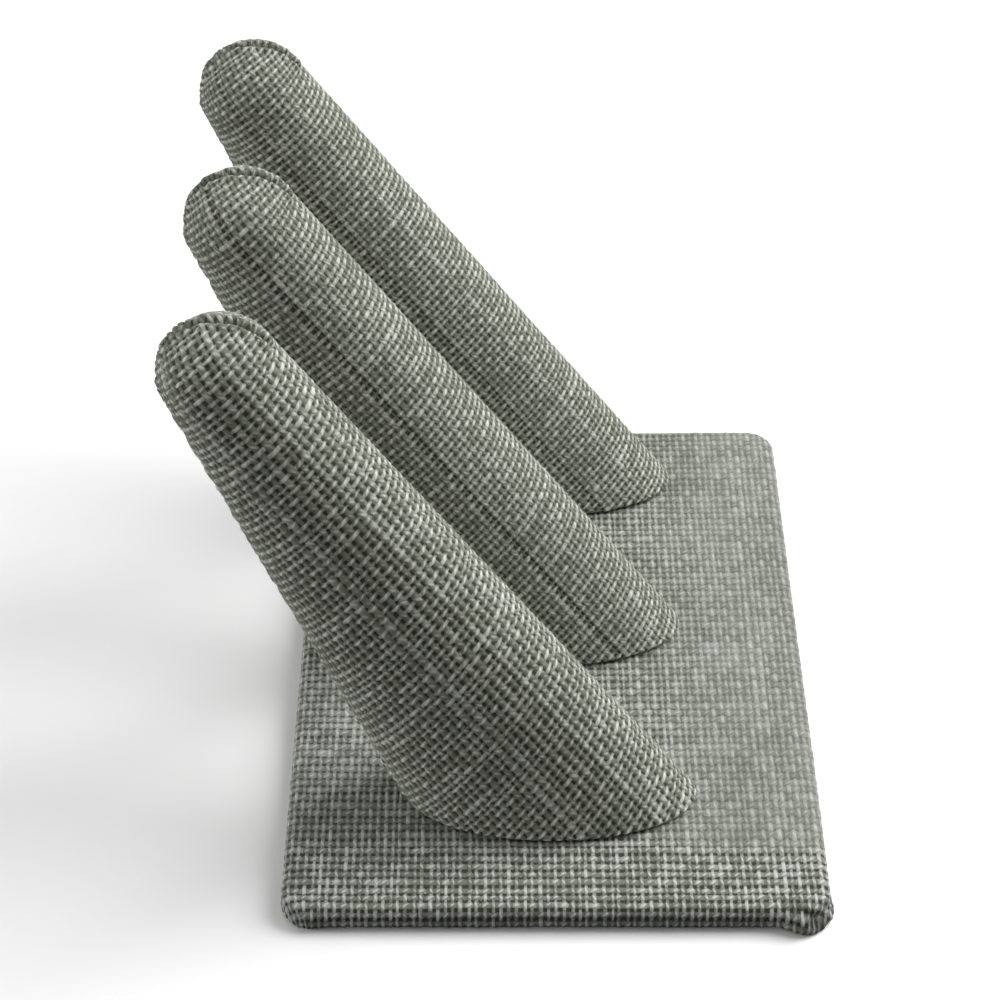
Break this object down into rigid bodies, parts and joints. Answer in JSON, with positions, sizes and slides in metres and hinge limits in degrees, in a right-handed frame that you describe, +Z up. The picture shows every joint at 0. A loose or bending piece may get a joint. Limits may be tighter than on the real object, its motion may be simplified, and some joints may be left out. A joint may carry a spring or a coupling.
{
  "type": "ring display stand",
  "caption": "Thin rectangular base wrapped in grey-green linen, with a row of tapered round-tipped fingers leaning over one long side to hold rings.",
  "frame": {"origin": "centre of the base's underside, on its lining", "axes": "+Z up; +Y along the row of fingers, away from the front finger; +X across the base, away from the side that the fingers lean over"},
  "size_m": [0.0841, 0.1049, 0.0781],
  "materials": {
    "base_linen": "coarse plain-woven linen, grey-green",
    "finger_linen": "coarse plain-woven linen, grey-green",
    "lining_card": "matt black card",
    "hardboard": "bare hardboard",
    "beech": "bare turned beech",
    "zinc_steel": "zinc-plated"
  },
  "bodies": {
    "root": {"base_board": "hardboard", "base_cover": "base_linen", "base_lining": "lining_card", "front_finger_core": "beech", "front_finger_cover": "finger_linen", "front_finger_screw_fore": "zinc_steel", "front_finger_screw_aft": "zinc_steel", "middle_finger_core": "beech", "middle_finger_cover": "finger_linen", "middle_finger_screw_fore": "zinc_steel", "middle_finger_screw_aft": "zinc_steel", "rear_finger_core": "beech", "rear_finger_cover": "finger_linen", "rear_finger_screw_fore": "zinc_steel", "rear_finger_screw_aft": "zinc_steel"}
  },
  "joints": []
}
